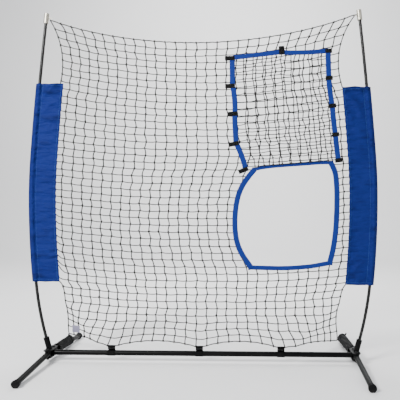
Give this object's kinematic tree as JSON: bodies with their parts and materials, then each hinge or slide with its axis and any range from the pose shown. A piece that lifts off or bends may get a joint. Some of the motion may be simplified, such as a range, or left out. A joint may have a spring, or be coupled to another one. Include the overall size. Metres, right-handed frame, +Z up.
{
  "type": "pitching screen",
  "caption": "Free-standing net screen on a folding tube base, with bowed poles, side sleeves, a bound throw-through window and its fold-up flap.",
  "frame": {"origin": "on the ground, midway between the feet's ends and midway between the sleeves' outer edges", "axes": "+Z up, +X to the viewer's right along the ground rail, +Y away from the pitcher"},
  "size_m": [2.1344, 1.003, 2.1404],
  "materials": {
    "black_steel": "semi-gloss powder coat",
    "zinc_fasteners": "zinc plated",
    "black_pole": "glass-fibre rod, satin black",
    "tip_metal": "brushed",
    "black_rubber": "matte",
    "net_cord": "knotted net cord",
    "border_rope": "braided border rope",
    "blue_fabric": "woven polyester",
    "blue_binding": "woven binding",
    "black_webbing": "webbing and ripstop",
    "label_fabric": "blank woven label"
  },
  "bodies": {
    "base": {"base_rail": "black_steel", "net_far_left": "net_cord", "net_mid_left": "net_cord", "net_beside_window_top": "net_cord", "net_beside_window_bottom": "net_cord", "net_below_window": "net_cord", "net_right_of_window": "net_cord", "net_above_window": "net_cord", "top_border_rope": "border_rope", "bottom_border_rope": "border_rope", "window_left_binding": "blue_binding", "window_right_binding": "blue_binding", "window_bottom_binding": "blue_binding", "window_top_binding": "blue_binding", "blank_label": "label_fabric", "left_base_strap": "black_webbing", "middle_base_strap": "black_webbing", "right_base_strap": "black_webbing", "left_hub_bracket": "black_steel", "left_pivot_bolts": "zinc_fasteners", "left_pivot_nuts": "zinc_fasteners", "left_pole_socket": "black_steel", "left_pole": "black_pole", "left_tip_cap": "tip_metal", "left_sleeve": "blue_fabric", "left_corner_net": "net_cord", "left_corner_rope": "border_rope", "right_hub_bracket": "black_steel", "right_pivot_bolts": "zinc_fasteners", "right_pivot_nuts": "zinc_fasteners", "right_pole_socket": "black_steel", "right_pole": "black_pole", "right_tip_cap": "tip_metal", "right_sleeve": "blue_fabric", "right_corner_net": "net_cord", "right_corner_rope": "border_rope"},
    "flap": {"flap_net": "net_cord", "flap_binding": "blue_binding", "flap_tabs": "black_webbing"},
    "left_front_leg_body": {"left_front_leg": "black_steel", "left_front_end_cap": "black_rubber"},
    "left_rear_leg_body": {"left_rear_leg": "black_steel", "left_rear_end_cap": "black_rubber", "left_corner_boot": "black_webbing", "left_boot_band": "black_webbing"},
    "right_front_leg_body": {"right_front_leg": "black_steel", "right_front_end_cap": "black_rubber"},
    "right_rear_leg_body": {"right_rear_leg": "black_steel", "right_rear_end_cap": "black_rubber", "right_corner_boot": "black_webbing", "right_boot_band": "black_webbing"}
  },
  "joints": [
    {"name": "left_front_leg_fold", "type": "hinge", "parent": "base", "child": "left_front_leg_body", "pos_m": [-0.931, -0.066, 0.056], "axis": [0, 0, 1], "range_deg": [0, 90]},
    {"name": "left_rear_leg_fold", "type": "hinge", "parent": "base", "child": "left_rear_leg_body", "pos_m": [-0.931, 0.022, 0.056], "axis": [0, 0, -1], "range_deg": [0, 90], "deforming": ["left_corner_net", "left_corner_rope", "blank_label"]},
    {"name": "right_front_leg_fold", "type": "hinge", "parent": "base", "child": "right_front_leg_body", "pos_m": [0.931, -0.066, 0.056], "axis": [0, 0, -1], "range_deg": [0, 90]},
    {"name": "right_rear_leg_fold", "type": "hinge", "parent": "base", "child": "right_rear_leg_body", "pos_m": [0.931, 0.022, 0.056], "axis": [0, 0, 1], "range_deg": [0, 90], "deforming": ["right_corner_net", "right_corner_rope"]},
    {"name": "flap_fold", "type": "hinge", "parent": "base", "child": "flap", "pos_m": [0.275, -0.037, 1.192], "axis": [0.9969, 0, 0.0785], "range_deg": [0, 180]}
  ]
}
